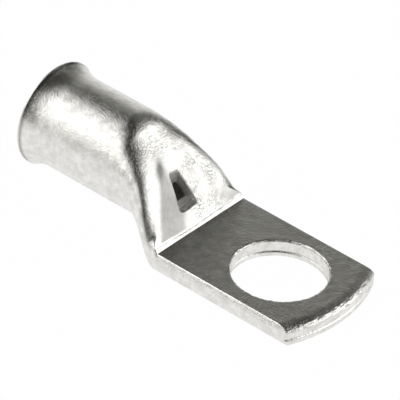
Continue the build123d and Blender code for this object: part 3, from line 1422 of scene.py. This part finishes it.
@dataclass(frozen=True)
class TinPlate:
    """Matt tin plating: a soft metal skin with a fine grain, a slight mottle and fine pits, plus
    painted shade on the ramp's pressed faces, inside the tube and down the sight hole.
    """

    name: str = "matt_tin"
    colour: Swatch = Swatch(0.84, 0.83, 0.81)
    dull_colour: Swatch = Swatch(0.7, 0.685, 0.655)
    roughness_range: tuple = (0.09, 0.18)
    grain: Noise = Noise(4600.0, 4.0, 0.65)
    grain_range: tuple = (0.3, 0.7)
    grain_depth: float = 0.00005
    mottle: Noise = Noise(1100.0, 3.0, 0.55)
    mottle_range: tuple = (0.35, 0.65)
    mottle_depth: float = 0.00002
    pit: Noise = Noise(9000.0, 2.0, 0.5)
    pit_range: tuple = (0.5, 0.62)
    pit_depth: float = 0.00003
    pit_colour: Swatch = Swatch(0.42, 0.42, 0.41)
    patch_per_metre: float = 330.0
    patch_detail: float = 1.0
    patch_range: tuple = (0.4, 0.58)
    patch_seed: float = 8.0
    sparsest_patch: float = 0.3
    pitted_place: tuple = (-0.0135, 0.0024, 0.005)
    pitted_reach: tuple = (0.0023, 0.0042)
    least_pitted: float = 0.2
    unpitted_from: float = 0.8
    # Painted shade colour for the ramp's pressed faces.
    painted_shade_colour: Swatch = Swatch(0.13, 0.13, 0.128)
    burnished_grain: float = 0.6
    # Painted shade colour inside the tube and down the sight hole's wall.
    inner_shade_colour: Swatch = Swatch(0.5, 0.5, 0.48)
    inner_roughness: float = 0.85
    dull_from: float = 0.25

    def build(self) -> bpy.types.Material:
        """Makes the material.

        Returns:
            The material, reading Object coordinates.
        """
        material = bpy.data.materials.new(self.name)
        material.use_nodes = True
        board = NodeBoard(material.node_tree)
        place = board.add("ShaderNodeTexCoord").outputs["Object"]
        grain = board.noise(place, self.grain)
        mottle = board.noise(place, self.mottle)
        rubbed_and_shaded = board.add("ShaderNodeAttribute", {"attribute_name": RUBBED_AND_SHADED}).outputs["Fac"]
        depth = board.add("ShaderNodeAttribute", {"attribute_name": INNER_DULL_AND_SHADE}).outputs["Fac"]
        matt = board.spread(rubbed_and_shaded, 0.0, self.unpitted_from, 1.0, 0.0)
        pits = board.math("MULTIPLY", self.pits(board, place), matt)
        dull = board.spread(mottle, *self.mottle_range, 0.0, 1.0)
        skin = board.tinted(self.colour.rgba, self.dull_colour, dull)
        skin = board.tinted(skin, self.pit_colour, pits)
        # Painted shade on the ramp's rubbed faces.
        skin = board.tinted(skin, self.painted_shade_colour, rubbed_and_shaded)
        # Painted shade inside the tube and the sight hole, lighter as painted light below the sight
        # hole.
        skin = board.tinted(skin, self.inner_shade_colour, depth)
        rough = board.spread(grain, *self.grain_range, *self.roughness_range)
        inner = board.spread(depth, 0.0, self.dull_from, 0.0, self.inner_roughness)
        rough = board.math("MAXIMUM", rough, inner)
        left = board.spread(rubbed_and_shaded, 0.0, 1.0, 1.0, self.burnished_grain)
        grain_depth = board.math("MULTIPLY", left, self.grain_depth)
        coarse = board.add("ShaderNodeBump", Height=mottle, Distance=self.mottle_depth)
        fine = board.add(
            "ShaderNodeBump", Height=grain, Distance=grain_depth, Normal=coarse.outputs[0]
        )
        pitted = board.add(
            "ShaderNodeBump",
            {"invert": True},
            Height=pits,
            Distance=self.pit_depth,
            Normal=fine.outputs[0],
        )
        shader = board.add(
            "ShaderNodeBsdfPrincipled",
            Base_Color=skin,
            Roughness=rough,
            Metallic=1.0,
            Normal=pitted.outputs[0],
        )
        board.add("ShaderNodeOutputMaterial", Surface=shader.outputs[0])
        return material

    def pits(self, board: NodeBoard, place: bpy.types.NodeSocket) -> bpy.types.NodeSocket:
        """Fine pits that stand closest together on the far side of the sight hole, in patches.

        Args:
            board: Board of the material.
            place: Object coordinates.

        Returns:
            The pits' depth at each place, from 0 to 1.
        """
        patch = board.add(
            "ShaderNodeTexNoise",
            {"noise_dimensions": "4D"},
            Vector=place,
            W=self.patch_seed,
            Scale=self.patch_per_metre,
            Detail=self.patch_detail,
        )
        distance = {"operation": "DISTANCE"}
        away = board.fed("ShaderNodeVectorMath", distance, place, self.pitted_place)
        deep = board.spread(board.noise(place, self.pit), *self.pit_range, 0.0, 1.0)
        dense = board.spread(patch.outputs["Fac"], *self.patch_range, self.sparsest_patch, 1.0)
        near = board.spread(away.outputs["Value"], *self.pitted_reach, 1.0, self.least_pitted)
        return board.math("MULTIPLY", deep, board.math("MULTIPLY", dense, near))


@dataclass(frozen=True)
class CableLug:
    """The whole lug as one piece."""

    sizes: LugSizes
    spacing: Spacing = Spacing()
    finish: TinPlate = TinPlate()
    name: str = "tinned_lug"

    def build(self) -> bpy.types.Object:
        """Builds and dresses the piece and puts it in place of the solid.

        Returns:
            The piece.
        """
        board = MeshBoard()
        PressedTube(self.sizes, self.spacing).build(board)
        Palm(self.sizes, self.spacing).build(board)
        piece = board.build(self.name)
        piece.data.materials.append(self.finish.build())
        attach(piece, BODY)
        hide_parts(NODE)
        mesh = piece.data
        log.info("%s: %d vertices, %d faces", piece.name, len(mesh.vertices), len(mesh.polygons))
        return piece


@dataclass(frozen=True)
class SoftBox:
    """Rectangular lamp that looks at the lug; angles in degrees, lengths in metres."""

    name: str
    azimuth: float
    elevation: float
    width: float
    height: float
    radiance: float
    distance: float = 0.7

    def build(self) -> bpy.types.Object:
        """Makes the lamp.

        Returns:
            The lamp's object.
        """
        data = bpy.data.lights.new(self.name, "AREA")
        data.shape = "RECTANGLE"
        data.size = self.width
        data.size_y = self.height
        data.energy = math.pi * self.width * self.height * self.radiance
        lamp = bpy.data.objects.new(self.name, data)
        azimuth, elevation = math.radians(self.azimuth), math.radians(self.elevation)
        toward = Vector((
            math.cos(azimuth) * math.cos(elevation),
            math.sin(azimuth) * math.cos(elevation),
            math.sin(elevation),
        ))
        turned = toward.to_track_quat("Z", "Y").to_matrix().to_4x4()
        lamp.matrix_world = Matrix.Translation(toward * self.distance) @ turned
        bpy.context.scene.collection.objects.link(lamp)
        return lamp


@dataclass(frozen=True)
class DimSector:
    """Darker part of the room; start and end are cosines of the angle from its middle."""

    azimuth: float
    start: float
    end: float
    level: float


@dataclass(frozen=True)
class Studio:
    """White floor, a room that is bright at the horizon and dim above, and two soft boxes."""

    floor_half: float = 3.0
    floor_colour: Swatch = Swatch(0.86, 0.86, 0.85)
    floor_white: float = 0.99
    room_heights: tuple = (0.0, 0.17, 0.34, 0.5, 0.64, 0.77)
    room_levels: tuple = (0.9, 0.68, 0.4, 0.22, 0.13, 0.05)
    room_tint: Swatch = Swatch(1.0, 1.005, 0.95)
    dim_sectors: tuple = (DimSector(-75.0, 0.3, 0.9, 0.25), DimSector(86.0, 0.84, 0.91, 0.1))
    least_level: float = 0.035
    key: SoftBox = SoftBox("key_box", -142.0, 40.5, 1.05, 0.64, 1.5)
    side: SoftBox = SoftBox("side_box", 42.0, 28.0, 0.57, 0.49, 2.0)

    def build(self, floor_height: float) -> None:
        """Makes floor, room and lamps.

        Args:
            floor_height: Height of the floor in metres.
        """
        half = self.floor_half
        corners = np.array([(-half, -half), (half, -half), (half, half), (-half, half)])
        points = np.column_stack([corners, np.full(4, floor_height)])
        mesh = bpy.data.meshes.new("floor")
        mesh.from_pydata(points.tolist(), [], [(0, 1, 2, 3)])
        floor = bpy.data.objects.new("floor", mesh)
        bpy.context.scene.collection.objects.link(floor)
        floor.data.materials.append(self.floor_finish())
        self.room()
        for lamp in (self.key, self.side):
            lamp.build()
            log.info("%s: radiance %.2f", lamp.name, lamp.radiance)

    def floor_finish(self) -> bpy.types.Material:
        """White floor that still takes the lug's shadow.

        Returns:
            The material.
        """
        material = bpy.data.materials.new("white_floor")
        material.use_nodes = True
        board = NodeBoard(material.node_tree)
        rays = board.add("ShaderNodeLightPath").outputs
        seen = board.math("MAXIMUM", rays["Is Camera Ray"], rays["Is Glossy Ray"])
        seen = board.math("MAXIMUM", seen, rays["Is Transmission Ray"])
        share = board.math("MULTIPLY", seen, self.floor_white)
        matt = board.add("ShaderNodeBsdfDiffuse", Color=self.floor_colour.rgba)
        glow = board.add("ShaderNodeEmission", Color=(1.0, 1.0, 1.0, 1.0), Strength=1.0)
        mixed = board.fed("ShaderNodeMixShader", {}, share, matt.outputs[0], glow.outputs[0])
        board.add("ShaderNodeOutputMaterial", Surface=mixed.outputs[0])
        return material

    def room(self) -> None:
        """Light of the room: bright at the horizon, dim above and in the dim sectors."""
        world = bpy.data.worlds.new("room")
        bpy.context.scene.world = world
        world.use_nodes = True
        board = NodeBoard(world.node_tree)
        toward = board.add("ShaderNodeTexCoord").outputs["Generated"]
        height = board.add("ShaderNodeSeparateXYZ", Vector=toward).outputs["Z"]
        ramp = board.add("ShaderNodeValToRGB", Fac=height)
        stops = ramp.color_ramp.elements
        while len(stops) < len(self.room_heights):
            stops.new(1.0)
        for stop, place, level in zip(stops, self.room_heights, self.room_levels):
            stop.position = place
            stop.color = (level, level, level, 1.0)
        level = ramp.outputs["Color"]
        for sector in self.dim_sectors:
            azimuth = math.radians(sector.azimuth)
            middle = (math.cos(azimuth), math.sin(azimuth), 0.0)
            product = {"operation": "DOT_PRODUCT"}
            along = board.fed("ShaderNodeVectorMath", product, toward, middle)
            dim = board.spread(along.outputs["Value"], sector.start, sector.end, 1.0, sector.level)
            level = board.math("MULTIPLY", level, dim)
        level = board.math("MAXIMUM", level, self.least_level)
        light = board.add("ShaderNodeBackground", Color=self.room_tint.rgba, Strength=level)
        board.add("ShaderNodeOutputWorld", Surface=light.outputs[0])


@dataclass(frozen=True)
class PhotoCamera:
    """Camera at the photograph's viewing angle; lengths in millimetres."""

    azimuth: float = 38.073
    elevation: float = 36.269
    roll: float = 4.37
    distance: float = 421.779
    right_shift: float = -8.421
    up_shift: float = 7.405
    aim_height: float = 2.2
    sensor: float = 36.0
    focal_in_frames: float = 10.0
    nearest: float = 10.0

    def build(self) -> bpy.types.Object:
        """Makes the camera and gives it to the scene.

        Returns:
            The camera's object.
        """
        azimuth, elevation = math.radians(self.azimuth), math.radians(self.elevation)
        roll = math.radians(self.roll)
        back = Vector((
            math.sin(azimuth) * math.cos(elevation),
            -math.cos(azimuth) * math.cos(elevation),
            math.sin(elevation),
        ))
        level = Vector((math.cos(azimuth), math.sin(azimuth), 0.0))
        upright = back.cross(level)
        right = math.cos(roll) * level + math.sin(roll) * upright
        up = -math.sin(roll) * level + math.cos(roll) * upright
        place = back * self.distance + right * self.right_shift + up * self.up_shift
        place.z += self.aim_height
        data = bpy.data.cameras.new("photo_camera")
        data.sensor_width = self.sensor
        data.lens = self.sensor * self.focal_in_frames
        data.clip_start = self.nearest * MILLIMETRE
        camera = bpy.data.objects.new("photo_camera", data)
        turned = Matrix((right, up, back)).transposed().to_4x4()
        camera.matrix_world = Matrix.Translation(place * MILLIMETRE) @ turned
        bpy.context.scene.collection.objects.link(camera)
        bpy.context.scene.camera = camera
        return camera


def main() -> None:
    """Builds camera, studio and lug, in that order."""
    logging.basicConfig(level=logging.INFO, format="%(name)s: %(message)s")
    bpy.context.scene.view_settings.view_transform = "Standard"
    PhotoCamera().build()
    Studio().build(solid_box[0].z)
    CableLug(LugSizes.from_frame()).build()


if __name__ == "__main__":
    main()
